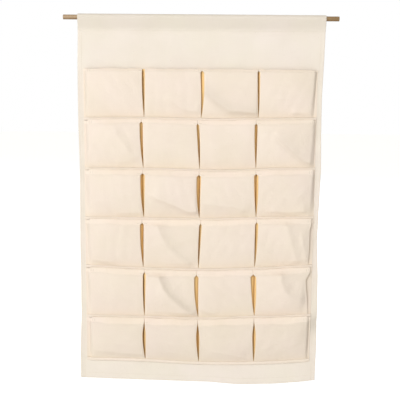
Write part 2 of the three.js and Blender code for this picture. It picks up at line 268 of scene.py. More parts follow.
def lay_cloth(name, points, cut, fold=0, grey=0):
    """Cloth through a grid of points, with its cut sizes in its UV map and its tints as attributes."""
    levels, across = points.shape[:2]
    index = np.arange(levels * across).reshape(levels, across)
    faces = np.stack([index[:-1, :-1], index[:-1, 1:], index[1:, 1:], index[1:, :-1]], axis=-1).reshape(-1, 4)
    mesh = bpy.data.meshes.new(name)
    mesh.from_pydata(points.reshape(-1, 3).tolist(), [], faces.tolist())
    corners = np.zeros(len(mesh.loops), np.int32)
    mesh.loops.foreach_get("vertex_index", corners)
    uv = mesh.uv_layers.new(name="cut")
    uv.data.foreach_set("uv", cut.reshape(-1, 2)[corners].astype(np.float32).ravel())
    for tint, values in (("fold", fold), ("grey", grey)):
        layer = mesh.attributes.new(tint, "FLOAT", "POINT")
        layer.data.foreach_set("value", (values + np.zeros((levels, across))).astype(np.float32).ravel())
    piece = add_object(name, mesh)
    wall = piece.modifiers.new("thickness", "SOLIDIFY")
    wall.thickness = cloth_thickness
    wall.offset = 0
    bpy.ops.object.modifier_apply(modifier="thickness")
    bpy.ops.object.shade_smooth_by_angle(angle=math.radians(55))
    return piece


def sleeve_side(side):
    """The sleeve's side before or behind the dowel: its foot, where it meets the dowel, and the turn there."""
    foot = np.array([-side * layer_gap / 2, -(sleeve_drop - sleeve_band)])
    turn = math.atan2(foot[1], abs(foot[0])) + math.acos(sleeve_radius / np.hypot(*foot))
    return foot, np.array([-side * sleeve_radius * math.cos(turn), sleeve_radius * math.sin(turn)]), turn


# Cross section of the cut, from the turned-up hem behind the foot, up the front and over the dowel:
# y, z, and how far the hem has turned up
front_foot, front_touch, touch_turn = sleeve_side(1)
back_foot, back_touch, _ = sleeve_side(-1)
hem_up = np.linspace(bottom_hem, layer_gap / 2, 6)
half_turn = np.linspace(0, math.pi, 7)[1:-1]
panel_up = np.linspace(-panel_drop + layer_gap / 2, panel_top, panel_levels)
lap = np.linspace(math.pi - touch_turn, touch_turn, lap_steps)
profile = [(layer_gap, -panel_drop + z, 1) for z in hem_up]
profile += [
    (layer_gap / 2 * (1 + math.cos(a)), -panel_drop + layer_gap / 2 * (1 - math.sin(a)), (1 + math.cos(a)) / 2)
    for a in half_turn
]
profile += [(0, z, 0) for z in panel_up]
profile += [(-0.2 * layer_gap, -0.0358, 0), (-0.45 * layer_gap, -0.0347, 0), (-layer_gap / 2, -sleeve_drop, 0)]
profile += [(-layer_gap / 2, -sleeve_drop + step, 0) for step in (0.0025, 0.004)]
profile += [(*(front_foot + (front_touch - front_foot) * share), 0) for share in (0, 0.2, 0.4, 0.6, 0.8)]
profile += [(sleeve_radius * math.cos(a), sleeve_radius * math.sin(a), 0) for a in lap]
profile += [(*(back_touch + (back_foot - back_touch) * share), 0) for share in (0.25, 0.5, 0.75, 1)]
profile += [(layer_gap / 2, -sleeve_drop + step, 0) for step in (0.0025, -0.0004)]
profile = np.array(profile)
profile_y, profile_z, turned_up = (column[:, None] for column in profile.T)

# Layers across the cut: the side hems lie behind the front, and the hem of the foot lies behind them both
half_width = panel_width / 2
inner = half_width - side_hem - 0.001
flap = np.linspace(side_hem, layer_gap / 2, 5)
round_x = [layer_gap / 2 * (1 - math.sin(a)) for a in half_turn]
side_x = -half_width + np.concatenate([flap, round_x, flap[::-1]])
side_layer = np.concatenate([np.ones(5), (1 + np.cos(half_turn)) / 2, np.zeros(5)])
across_x = np.concatenate([side_x, np.linspace(-inner, inner, panel_columns), -side_x[::-1]])
behind = np.concatenate([side_layer, np.zeros(panel_columns), side_layer[::-1]])[None, :]

# The side hems run narrow on the sleeve, so that it closes round the dowel
from_side = half_width - np.abs(across_x[None, :])
hem_width = np.where(behind > 0.5, 0.12 + 0.88 * ramp(profile_z, -0.036, -0.006), 1)
x = np.sign(across_x[None, :]) * (half_width - from_side * hem_width)
layers = 1 + 2 * ramp(np.abs(x), inner - 0.001, 0.0015)
stack = np.where(turned_up > 0, turned_up * (layers - behind) + (1 - turned_up) * behind, behind)
y = np.where(profile_z > panel_top, profile_y + 0.3 * layer_gap * behind, stack * layer_gap)
z = profile_z + 0 * x

# It hangs loose above the first row, below the last one and beside them all, and puckers at the sleeve's seam
header_share = ramp(z, -0.118, 0.03) * ramp(z, -0.038, -0.03)
foot_share = ramp(z, -0.903, -0.02)
free_share = ramp(np.abs(x), 0.297, 0.01) * ramp(z, -0.12, -0.02)
sway = header_sway * header_share * ripple(x, z, [0.16, 0.11, 0.21, 0.075], 3)
sway += foot_share * foot_wave(x, z)
sway += margin_sway * free_share * ripple(x, z, [0.06, 0.1], 8)
near_seam = np.exp(-(((z + sleeve_drop - 0.0025) / 0.006) ** 2))
pucker = pucker_depth * near_seam * ripple(x, z * 0.2, [0.011, 0.016, 0.024], 12)
curled = curl_share(x, z)
# Painted shade: the sleeve, the free left margin and the curled right margin are laid on greyer
grey = 0.4 * ramp(z, -0.036, 0.014) + 0.25 * free_share * (x < 0) + 0.8 * curled
edge_move = np.where(x < 0, np.interp(z, edge_heights, left_edge_moves), np.interp(z, edge_heights, right_edge_moves))
foot_move = np.interp(x, foot_places, foot_moves) * ramp(z, -0.88, -0.06)
x = x + edge_move * edge_share(x)
panel_points = np.stack([x, y + sway + pucker + curl_depth * curled, hang(x, z) + foot_move], axis=-1)
height_along = distance_along(profile[:, :2])[:, None]
panel_cut = np.stack([np.broadcast_to(across_x, z.shape), height_along + 0 * z], axis=-1)
canvas_panel = lay_cloth("canvas_panel", panel_points, panel_cut, grey=grey)


def start_group(name, inputs, outputs):
    """A shader node group with named sockets."""
    group = bpy.data.node_groups.new(name, "ShaderNodeTree")
    for direction, sockets in (("INPUT", inputs), ("OUTPUT", outputs)):
        for socket, kind in sockets.items():
            group.interface.new_socket(socket, in_out=direction, socket_type="NodeSocket" + kind)
    return group, put(group, "NodeGroupInput"), put(group, "NodeGroupOutput")


# Plain weave of canvas: threads that pass over and under each other, thick and thin by chance
thread_pitch = 0.00085
thread_wander = (0.0005,) * 3
thread_height = 0.00022
flecks_kept = 0.8
weave, given, result = start_group(
    "plain_weave", {"Cut": "Vector", "Thread Pitch": "Float"}, {"Height": "Float", "Shade": "Float", "Fleck": "Float"}
)
cut = given.outputs["Cut"]
slub = noise(weave, cut, 90.0, 2.0, output="Color")
slub_move = put(weave, "ShaderNodeVectorMath", {0: slub, 1: thread_wander}, operation="MULTIPLY")
moved = put(weave, "ShaderNodeVectorMath", {0: cut, 1: slub_move.outputs[0]}, operation="ADD")
axes = put(weave, "ShaderNodeSeparateXYZ", {0: moved.outputs[0]})
warp_count = work_out(weave, "DIVIDE", axes.outputs["X"], given.outputs["Thread Pitch"])
weft_count = work_out(weave, "DIVIDE", axes.outputs["Y"], given.outputs["Thread Pitch"])
warp_round = work_out(weave, "SINE", work_out(weave, "MULTIPLY", work_out(weave, "FRACT", warp_count), math.pi))
weft_round = work_out(weave, "SINE", work_out(weave, "MULTIPLY", work_out(weave, "FRACT", weft_count), math.pi))
floors = work_out(weave, "ADD", work_out(weave, "FLOOR", warp_count), work_out(weave, "FLOOR", weft_count))
warp_over = work_out(weave, "PINGPONG", floors, 1.0)
warp_height = work_out(weave, "MULTIPLY", warp_round, work_out(weave, "MULTIPLY_ADD", weft_round, 0.4, 0.6))
weft_height = work_out(weave, "MULTIPLY", weft_round, work_out(weave, "MULTIPLY_ADD", warp_round, 0.4, 0.6))
height = put(weave, "ShaderNodeMix", {0: warp_over, 2: weft_height, 3: warp_height}, data_type="FLOAT").outputs[0]
warp_streak, weft_streak = (
    noise(weave, put(weave, "ShaderNodeMapping", {"Vector": cut, "Scale": stretch}).outputs[0], 1.0, 1.0)
    for stretch in ((700, 14, 1), (14, 700, 1))
)
streaks = work_out(weave, "MULTIPLY", work_out(weave, "ADD", warp_streak, weft_streak), 0.5)
# The threads' shade is their own uneven streaks together with painted shade in the valleys between their crowns
thread_tone_and_crown_light = work_out(weave, "MULTIPLY_ADD", height, 0.22, work_out(weave, "MULTIPLY_ADD", streaks, 0.9, -0.05))
seeds = put(weave, "ShaderNodeTexVoronoi", {"Vector": cut, "Scale": 95.0})
seed_near = work_out(weave, "LESS_THAN", seeds.outputs["Distance"], 0.05)
seed_chance = put(weave, "ShaderNodeSeparateColor", {0: seeds.outputs["Color"]}).outputs[0]
seed_few = work_out(weave, "GREATER_THAN", seed_chance, flecks_kept)
weave.links.new(height, result.inputs["Height"])
weave.links.new(thread_tone_and_crown_light, result.inputs["Shade"])
weave.links.new(work_out(weave, "MULTIPLY", seed_near, seed_few), result.inputs["Fleck"])

# Tone of undyed cotton: uneven, greyer where painted shade is laid on, and golden deep inside its folds as painted
# shade
pinker = (1.0, 0.985, 0.985, 1)
yellower = (0.988, 0.988, 0.952, 1)
painted_shade_grey = (0.8, 0.8, 0.78, 1)
fleck_brown = (0.36, 0.25, 0.14, 1)
painted_fold_gold = (0.98, 0.69, 0.31, 1)
tone, given, result = start_group(
    "undyed_tone",
    {"Cut": "Vector", "Light": "Color", "Dark": "Color", "Golden": "Color",
     "Shade": "Float", "Fleck": "Float", "Fold": "Float", "Grey": "Float"},
    {"Color": "Color", "Creases": "Float"},
)
cut = given.outputs["Cut"]
shaded = work_out(tone, "MULTIPLY", given.outputs["Shade"], -0.55)
mottle = work_out(tone, "MULTIPLY_ADD", noise(tone, cut, 11.0, 4.0), 1.3, shaded)
plain = blend_colours(tone, mottle, given.outputs["Light"], given.outputs["Dark"])
drift = work_out(tone, "MULTIPLY_ADD", noise(tone, cut, 7.0, 2.0), 3.0, -1.0)
warmth = blend_colours(tone, drift, pinker, yellower)
warm = put(tone, "ShaderNodeMix", {0: 1.0, 6: plain, 7: warmth}, data_type="RGBA", blend_type="MULTIPLY").outputs[2]
# Painted shade: the grey share dulls the tone towards this grey
dulled = put(tone, "ShaderNodeMix", {0: 1.0, 6: warm, 7: painted_shade_grey}, data_type="RGBA", blend_type="MULTIPLY")
greyed = blend_colours(tone, given.outputs["Grey"], warm, dulled.outputs[2])
specked = blend_colours(tone, work_out(tone, "MULTIPLY", given.outputs["Fleck"], 0.45), greyed, fleck_brown)
folded = blend_colours(tone, given.outputs["Fold"], specked, given.outputs["Golden"])
crumple = noise(tone, cut, 34.0, 3.0, distortion=0.6)
ridges = work_out(tone, "ABSOLUTE", work_out(tone, "MULTIPLY_ADD", crumple, 2.0, -1.0))
tone.links.new(folded, result.inputs["Color"])
tone.links.new(ridges, result.inputs["Creases"])


def canvas_material(name, light, dark, crease_depth):
    """Canvas of the given light and dark tone, woven and lightly creased."""
    material, tree, shader = start_material(name, roughness=0.92, specular=0.12)
    shader.inputs["Sheen Weight"].default_value = 0.05
    shader.inputs["Sheen Roughness"].default_value = 0.6
    cut = put(tree, "ShaderNodeUVMap", uv_map="cut").outputs[0]
    threads = put(tree, "ShaderNodeGroup", {"Cut": cut, "Thread Pitch": thread_pitch}, node_tree=weave)
    tones = {"Cut": cut, "Light": light, "Dark": dark, "Golden": painted_fold_gold}
    for mark in ("Shade", "Fleck"):
        tones[mark] = threads.outputs[mark]
    for tint in ("Fold", "Grey"):
        tones[tint] = put(tree, "ShaderNodeAttribute", attribute_name=tint.lower()).outputs["Fac"]
    colour = put(tree, "ShaderNodeGroup", tones, node_tree=tone)
    creased = {"Height": colour.outputs["Creases"], "Strength": 0.6, "Distance": crease_depth}
    woven = {"Height": threads.outputs["Height"], "Strength": 0.6, "Distance": thread_height}
    soft = put(tree, "ShaderNodeBump", creased)
    threads_up = put(tree, "ShaderNodeBump", {"Normal": soft.outputs[0], **woven})
    tree.links.new(colour.outputs["Color"], shader.inputs["Base Color"])
    tree.links.new(threads_up.outputs[0], shader.inputs["Normal"])
    return material


panel_light, panel_dark = (0.9, 0.825, 0.735, 1), (0.84, 0.76, 0.66, 1)
panel_canvas = canvas_material("panel_canvas", panel_light, panel_dark, crease_depth=0.0008)
canvas_panel.data.materials.append(panel_canvas)
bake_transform(canvas_panel)
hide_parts("sleeve", "back_panel")

# Pocket rows: six strips of the same canvas, each pleated into four pockets. A pocket's front bellies out from its
# sewn foot to its mouth, and folds back at both sides to the line where the strip is sewn to the panel.
# A hem is turned in along the mouth and leans back, and the folds of neighbouring fronts meet there.
rows = 6
columns = 4
side_margin = 0.02
bottom_margin = 0.0475
mouth_overlap = 0.0025
seam_strip = 0.008
row_pitch = (panel_drop - first_mouth_drop - bottom_margin - mouth_overlap) / rows
column_pitch = (panel_width - 2 * side_margin) / columns
front_height = row_pitch + mouth_overlap - seam_strip
end_flange = 0.005
pleat_fold = 0.016
root_depth = 0.0015
foot_depth = 0.0054
mouth_depth = 0.0135
belly_depth = 0.006
hem_rests = [0.0056, 0.0086, 0.0088, 0.0086, 0.0086, 0.0088]
hem_heights = [0.008, 0.0105, 0.0125, 0.0125, 0.0125, 0.0145]
depth_shares = [0.88, 0.92, 1.12, 0.92, 1, 1.08]
# Painted grey shade on each row's fronts, heavier on the lowest row
row_shades = [0.3, 0.3, 0.32, 0.35, 0.35, 0.5]
front_steps = 58
level_shares = np.concatenate([np.linspace(0, 0.12, 9), np.linspace(0.14, 0.84, 36), np.linspace(0.855, 0.99, 16)])

# Small moves of the fronts: bumps, puckers and pull at the hem's stitches, puckers at the foot, a wave in the mouth
bump_depth = 0.0009
hem_pucker = 0.00035
hem_pull = 0.0006
foot_pucker = 0.0005
mouth_wave = 0.0007

# The pleats' mouths lie lower than the fronts', take less of the hem, and lie flat near the panel
pleat_dip = 0.0036
pleat_hem_share = 0.2
flat_below = 0.0022

# Rounding of the cloth at a front's edge, at its hem, in a tuck and deep in a pleat
edge_round = 0.0017
hem_round = 0.0008
tuck_round = 0.0009
pleat_round = 0.0013

# Outer ends of the fronts, measured in from the last sewn line, at the mouth and at the foot. The tucked rows have a
# small fold of their own on the right, and only their hem reaches the sewn line.
left_insets = [(0.004, 0.004), (0.006, 0.006), (0.008, 0.009), (0.007, 0.01), (0.006, 0.01), (0.009, 0.01)]
right_insets = [(0.003, 0.0095), (0.003, 0.0055), (0.001, 0.0075), (0.0055, 0.006), (0.016, 0.003), (0.0045, 0.007)]
right_tucks = [0, 0, 0, 0.004, 0.005, 0]
tucked_hem_inset = 0.001
end_widths = [0.0065, 0.0075, 0.011, 0.008, 0.008, 0.0065]

# Slits between the fronts, row by row: width, place at the mouth, place at the foot, bow, and where it closes
slit_gap = 0.0013
slit_width = 0.0105
slit_play = 0.01
slits = [
    [(0.6, 0.2, 0.3, 0, 1.04), (0.75, 0.4, 0.3, 0.27, 0.955), (0.5, 0.1, 0.25, 0, 0.96)],
    [(0.65, -0.35, 0.1, -0.1, 0.955), (0.55, -0.6, 0, 0.07, 0.935), (0.6, -0.3, -0.1, -0.1, 0.935)],
    [(0.95, 0, 0.2, -0.07, 0.94), (0.95, -0.1, 0.05, -0.2, 0.935), (0.95, -0.1, 0.15, 0, 0.94)],
    [(0.8, -0.2, 0.05, -0.1, 0.945), (0.5, 0.45, -0.1, -0.07, 0.945), (0.65, 0.35, 0.05, 0, 0.95)],
    [(0.6, 0.4, 0.3, 0, 0.96), (0.95, -0.55, -0.05, -0.23, 0.925), (1.25, -0.4, 0.2, 0, 0.915)],
    [(0.8, 0.35, 0.5, -0.1, 0.985), (0.8, -0.15, 0.2, -0.08, 0.98), (0.85, 0.1, 0.25, 0, 0.99)],
]
slit_top_tapers = [0.04, 0.04, 0.045, 0.05, 0.06, 0.4]

# How softly a fold starts and ends along its line, how round its ridge is, and how far its painted grey shade reaches
crease_start = 0.038
crease_end = 0.022
crease_round = 0.0015
crease_shade_reach = 0.012

# Folds of the fronts: row, column, line of the fold as shares of the front, height, its reach below and above,
# and how much painted grey shade lies below and above it
creases = [
    [0, 1, [(0.3, 0.42), (0.7, 0.16), (1.05, 0.1)], 0.003, 0.007, 0.03, 0.1, 0],
    [0, 2, [(-0.25, 0.77), (0.1, 0.462), (0.26, 0.31), (0.485, 0.15), (1.35, 0.05)], 0.0072, 0.009, 0.036, 0.45, 0.3],
    [0, 3, [(0.46, 0.1), (1.05, 0.07)], 0.0035, 0.008, 0.02, 0.1, 0],
    [1, 0, [(0.44, 1.22), (0.52, 0.9), (0.57, 0.67), (0.745, 0.43), (0.92, 0.1)], 0.0045, 0.035, 0.013, 0, 0],
    [1, 3, [(0.25, 0.76), (0.61, 0.38), (0.8, 0.2), (1.15, -0.05)], 0.006, 0.009, 0.034, 0.4, 0.22],
    [2, 0, [(0.4, 0.06), (1.1, 0.09)], 0.0035, 0.008, 0.02, 0, 0],
    [2, 1, [(0, 0.54), (0.4, 0.35), (0.589, 0.27), (0.75, 0.17), (0.85, 0.14), (1.15, 0.16)],
     0.0088, 0.0075, 0.04, 0, 0],
    [2, 2, [(-0.15, 0.33), (0.579, 0.25), (0.9, 0.1)], 0.0036, 0.01, 0.03, 0, 0],
    [2, 3, [(0.1, 0.15), (0.6, 0.08), (1.0, 0.12)], 0.0048, 0.008, 0.02, 0, 0],
    [3, 0, [(-0.1, 0.16), (0.1, 0.12), (0.55, 0.03)], 0.0046, 0.009, 0.02, 0, 0],
    [3, 1, [(0.12, 1.22), (0.35, 0.65), (0.449, 0.458), (0.664, 0.231), (0.93, 0.0)], 0.006, 0.035, 0.014, 0, 0.15],
    [3, 3, [(0.45, 1.22), (0.6, 0.7), (0.674, 0.44), (0.84, -0.05)], 0.006, 0.03, 0.018, 0, 0],
    [3, 3, [(0.8, 0.9), (0.89, 0.39), (0.97, 0.0)], 0.0034, 0.009, 0.014, 0, 0],
    [4, 1, [(0.12, 1.25), (0.36, 0.66), (0.48, 0.48), (0.632, 0.329), (1.0, -0.03)], 0.0098, 0.045, 0.0125, 0, 0.4],
    [4, 2, [(-0.15, 0.3), (0.25, 0.08), (0.4, 0.04)], 0.0038, 0.008, 0.02, 0, 0],
    [4, 3, [(0.38, 1.28), (0.5, 0.78), (0.56, 0.58), (0.63, 0.46), (0.72, 0.4), (1, 0.34)], 0.009, 0.03, 0.02, 0, 0.1],
    [5, 0, [(-0.05, 0.2), (0.95, 0.13), (1.1, 0.1)], 0.0036, 0.008, 0.03, 0, 0],
    [5, 2, [(0.08, 0.32), (0.77, 0.13), (0.9, 0.1)], 0.0038, 0.009, 0.03, 0, 0],
]


def mouth_z(row):
    """Height of a row's mouths as cut."""
    return -(first_mouth_drop + row * row_pitch)


def line_x(line):
    """Place of a sewn line between pockets."""
    return (line - columns / 2) * column_pitch


def front_edge(row, line, side, up):
    """Where the front on the given side of a line between pockets ends, at a share of its height."""
    if line in (0, columns):
        mouth, foot = (left_insets if line == 0 else right_insets)[row]
        inset = foot + (mouth - foot) * up
        if line == columns and right_tucks[row]:
            inset = inset + (tucked_hem_inset - inset) * soft_ramp(up, 0.7, 0.24)
        return line_x(line) + side * inset
    width, mouth, foot, bow, top = slits[row][line - 1]
    lean = slit_play * (foot + (mouth - foot) * up + bow * np.sin(np.pi * up))
    closing = soft_ramp(up, top, -slit_top_tapers[row])
    wide = slit_width * width * (1 - (1 - np.clip(up, 0, 1)) ** 2.5) * closing
    return line_x(line) + lean + side * (slit_gap + wide) / 2


def front_ends(row, column, up):
    """The left and right edge of a front."""
    return front_edge(row, column, 1, up), front_edge(row, column + 1, -1, up)


def share_across(row, column, x, up):
    """How far across its front a place lies."""
    left, right = front_ends(row, column, up)
    return (x - left) / (right - left)


def hem_line(row, column, across):
    """How far below its mouth a front's hem is stitched."""
    wave = 0.6 * np.sin(across * 5 + row + 2 * column) + 0.4 * np.sin(across * 13 + 2 * row + column)
    return hem_heights[row] * (1 + 0.12 * wave)


def crease_lie(row, column, x, z):
    """How high a front's folds stand at a place from its lower left corner, and how much painted grey shade lies along
    them.
    """
    raised, crease_shade = np.zeros(np.shape(x)), np.zeros(np.shape(x))
    for crease_row, crease_column, line, height, below, above, shade_below, shade_above in creases:
        if (crease_row, crease_column) != (row, column):
            continue
        nearest, offset, walked = np.full(np.shape(x), 9.0), np.zeros(np.shape(x)), np.zeros(np.shape(x))
        before = 0.0
        for (ax, az), (bx, bz) in zip(line, line[1:]):
            ax, az, bx, bz = ax * column_pitch, az * front_height, bx * column_pitch, bz * front_height
            run = math.hypot(bx - ax, bz - az)
            t = ((x - ax) * (bx - ax) + (z - az) * (bz - az)) / run**2
            held = np.clip(t, 0, 1)
            away = np.hypot(x - ax - held * (bx - ax), z - az - held * (bz - az))
            side = np.sign((bx - ax) * (z - az) - (bz - az) * (x - ax))
            closer = away < nearest
            nearest, offset = np.where(closer, away, nearest), np.where(closer, side * away, offset)
            walked = np.where(closer, before + held * run, walked)
            before += run
        ends = soft_ramp(walked, 0, crease_start) * soft_ramp(walked, before, -crease_end)
        reach = np.where(offset > 0, above, below)
        raised = raised + ends * height * np.exp(-((nearest**2 + crease_round**2) ** 0.5 / reach) ** 1.15)
        # Painted shade: the cloth is greyed along each fold, more on the side the table gives
        turned = soft_ramp(offset, -0.004, 0.008)
        grey = shade_below + (shade_above - shade_below) * turned
        crease_shade = crease_shade + ends * grey * np.exp(-((nearest / (crease_shade_reach + 0.01 * turned)) ** 2))
    return raised, crease_shade


def front_depth(row, column, across, up):
    """How far a front stands out from the panel, with its belly, folds and puckers."""
    up_in = np.clip(up, 0, 1)
    off_middle = np.abs(2 * across - 1)
    lean = 1 - (1 - up_in) ** 2.2
    belly = np.sin(np.pi * up_in**0.95)
    ease = 1 - 0.15 * off_middle**4
    if column in (0, columns - 1):
        ease = ease - 0.38 * ramp(1 - across if column == 0 else across, 0.35, 0.65) ** 2
    out = (mouth_depth * lean + belly_depth * belly) * depth_shares[row] * ease
    hem = hem_line(row, column, across)
    in_hem = 1 - (1 - up_in) * front_height / (1.15 * hem)
    out = out + (hem_rests[row] - foot_depth - out) * np.clip(in_hem, 0, 1) ** 1.25
    x, z = across * column_pitch, up * front_height
    fade = np.clip((1 - off_middle) / 0.06, 0.25, 1) * np.clip(up_in * 9, 0, 1) * soft_ramp(up_in, 0.96, -0.1)
    out = out + fade * crease_lie(row, column, x, z)[0]
    seed = 31 * row + 7 * column
    mild = (1 - np.clip(off_middle, 0, 1) ** 6) * np.sin(np.pi * up_in) ** 0.5
    out = out + bump_depth * mild * ripple(x, z, [0.05, 0.035, 0.08, 0.028], seed)
    below_hem = z - (front_height - hem)
    sewn = hem_pucker * ripple(x, z * 0.3, [0.008, 0.012, 0.018], seed + 1) * np.exp(-((below_hem / 0.006) ** 2))
    sewn = sewn - hem_pull * np.exp(-((below_hem / 0.0018) ** 2))
    foot = foot_pucker * ripple(x, z * 0.2, [0.01, 0.016, 0.022], seed + 2) * np.exp(-((z / 0.012) ** 2))
    return foot_depth + out + mild**0.3 * (sewn + foot * (up_in > 0))


def turn_fold(row, column, line, side, up):
    """A level of the fold behind a front's edge: x, depth, how much painted golden shade it takes, and how much of the
    hem it takes.
    """
    is_tuck = line == columns
    fold = right_tucks[row] if is_tuck else pleat_fold
    edge = front_edge(row, line, side, up)
    edge_depth = front_depth(row, column, 0.015 if side > 0 else 0.985, up)
    room = edge_depth - root_depth
    in_hem = soft_ramp(up, 0.89, 0.04)
    soft = min(tuck_round if is_tuck else edge_round - (edge_round - hem_round) * in_hem, room / 5)
    tight = min(pleat_round, room / 8)
    middle = edge_depth - 2 * soft - tight - min(0.0008, room / 20)
    if is_tuck:
        middle = root_depth + room / 4 + tight
    inner_x = edge + side * (fold - tight)
    root_x = line_x(line) + (end_flange if is_tuck else side * 0.0007)
    reach = (root_x - edge) / (root_x - inner_x)
    points = []
    for share in (0, 0.05, 0.12, 0.25, 0.5, 0.8):
        rise = min(share / reach, 1) if is_tuck else share**0.15
        points.append((root_x + share * (inner_x - root_x), root_depth + rise * (middle - tight - root_depth), 1.0))
    for a in np.linspace(-math.pi / 2, math.pi / 2, 6):
        points.append((inner_x + side * tight * math.cos(a), middle + tight * math.sin(a), 1.0))
    behind = edge_depth - 2 * soft
    for share in (0.25, 0.5, 0.75):
        x = inner_x + share * (edge + side * soft - inner_x)
        points.append((x, middle + tight + share * (behind - middle - tight), 0.95))
    for a in np.linspace(-math.pi / 2, math.pi / 2, 8):
        # Painted shade: golden deep in the fold, fading out towards the front's face, and less in the hem
        golden = (0.45 - 0.45 * math.sin(a)) * (1 - 0.9 * in_hem)
        points.append((edge + side * soft * (1 - math.cos(a)), edge_depth - soft + soft * math.sin(a), golden))
    return np.array([(x, depth, 0.0 if is_tuck else golden, pleat_hem_share) for x, depth, golden in points])


def slope_end(row, column, line, side, up):
    """The same at an outer end, where the strip runs straight from the panel to its front."""
    edge = front_edge(row, line, side, up)
    inward = edge + side * 0.004
    depth = front_depth(row, column, share_across(row, column, np.array([edge, inward]), up), up)
    flat_end = np.array([line_x(line) - side * end_flange, root_depth])
    corner, start = np.array([edge, depth[0]]), np.array([inward, depth[1]])
    root = np.array([edge - side * min(end_widths[row], side * (edge - flat_end[0]) - 0.0005), root_depth])
    points = [flat_end + share * (root - flat_end) for share in (0, 0.5)]
    points += [root + share * (corner - root) for share in (0, 0.25, 0.5)]
    last = root + 0.75 * (corner - root)
    points += [last * (1 - t) ** 2 + corner * 2 * t * (1 - t) + start * t * t for t in np.linspace(0, 1, 8)]
    return np.array([(x, y, 0.0, 1.0) for x, y in points])


def pocket_level(row, column, up):
    """A level of a pocket's cloth from left to right: x, depth, how much painted golden shade it takes, and how much of
    the hem it takes.
    """
    ends = []
    for line, side in ((column, 1), (column + 1, -1)):
        is_folded = 0 < line < columns or (line == columns and right_tucks[row])
        ends.append((turn_fold if is_folded else slope_end)(row, column, line, side, up))
    left, right = ends[0], ends[1][::-1]
    x = np.linspace(left[-1, 0], right[0, 0], front_steps)[1:-1]
    depth = front_depth(row, column, share_across(row, column, x, up), up)
    from_end = np.minimum(x - left[-1, 0], right[0, 0] - x)
    hem_share = pleat_hem_share + (1 - pleat_hem_share) * soft_ramp(from_end, 0, 0.004)
    return np.concatenate([left, np.stack([x, depth, 0 * x, hem_share], axis=-1), right])


pocket_light, pocket_dark = (0.975, 0.857, 0.745, 1), (0.915, 0.795, 0.675, 1)
pocket_canvas = canvas_material("pocket_canvas", pocket_light, pocket_dark, crease_depth=0.0012)
for row in range(rows):
    foot_z = mouth_z(row) - front_height + 0.0003
    hem = hem_heights[row] / front_height
    # Each level's share of the height and how far it is turned in: up the front, over the mouth and down the hem
    levels = [(up, 0.0) for up in level_shares]
    for a in np.linspace(0, math.pi, 6):
        levels.append((1 - layer_gap / 2 * (1 - math.sin(a)) / front_height, layer_gap / 2 * (1 - math.cos(a))))
    levels += [(1 - share * hem, layer_gap) for share in (0.25, 0.5, 0.75, 0.97)]
    for column in range(columns):
        grid, cut, folds, greys = [], [], [], []
        walked = 0.0
        for up, inside in levels:
            # The hem's layer keeps its gap inside the front, and lies on the strip where that is flat on the panel
            path = pocket_level(row, column, up)
            step = np.gradient(path[:, :2], axis=0)
            step /= np.linalg.norm(step, axis=1)[:, None]
            off_panel = ramp(path[:, 1], flat_below, 0.003)
            clear = off_panel * path[:, 3] * inside
            lifted = (1 - off_panel) * (layer_gap - inside) * soft_ramp(up, 1 - 1.2 * hem, 0.03)
            x = path[:, 0] + step[:, 1] * clear
            depth = path[:, 1] - step[:, 0] * clear + lifted
            dip = pleat_dip * ramp(depth, 0.0088, -0.002) * ramp(up, 0.88, 0.12)
            wave = mouth_wave * ripple(x + 0.7 * row, 0 * x, [0.024, 0.041, 0.07], 60 + row) * soft_ramp(up, 0.84, 0.14)
            z = foot_z + (mouth_z(row) - foot_z) * up - dip + wave * np.clip(path[:, 3] * 2 - 1, 0, 1)
            grid.append(np.stack([x, -depth, hang(x, z)], axis=-1))
            # Its sizes as cut, for the weave, and its tints: painted golden shade in the folds and at the foot, and
            # painted grey shade by row and along the folds, lifted on the doubled hem as painted light
            length = distance_along(path[:, :2])
            walked += np.linalg.norm(grid[-1][len(x) // 2] - grid[-2][len(x) // 2]) if len(grid) > 1 else 0
            cut.append(np.stack([length - length[-1] / 2 + 0.3 * column, walked + 0 * x + 0.2 * row], axis=-1))
            painted_foot_shade = 0.12 * np.exp(-up * front_height / 0.012)
            folds.append(path[:, 2] + (1 - path[:, 2]) * painted_foot_shade)
            across = share_across(row, column, x, up)
            # Painted light: the doubled hem takes less of the grey, so it shows lighter
            doubled = soft_ramp((up - 1) * front_height, -1.15 * hem_line(row, column, across), 0.005)
            crease_shade = crease_lie(row, column, across * column_pitch, up * front_height)[1]
            greys.append((row_shades[row] + crease_shade) * (1 - 0.85 * doubled))
        name = f"row_{row + 1}_pocket_{column + 1}"
        pocket = lay_cloth(name + "_cloth", np.array(grid), np.array(cut), fold=np.array(folds), grey=np.array(greys))
        pocket.data.materials.append(pocket_canvas)
        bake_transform(pocket)
        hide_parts(name + "_front")

# Feet of the rows: the raw edge of each canvas strip is turned under twice and sewn down to the panel along one
# seam, pleats and all, which leaves a narrow raised band under each row.
strip_half = line_x(columns) + end_flange
strip_front = 0.006
strip_back = 0.0009
strip_steps = 150
strip_pucker = 0.00025


def strip_share(x):
    """How thick a strip's foot is, as a share of its middle: the pleats end before its ends."""
    return 0.45 + 0.55 * soft_ramp(np.abs(x), strip_half, -0.014)


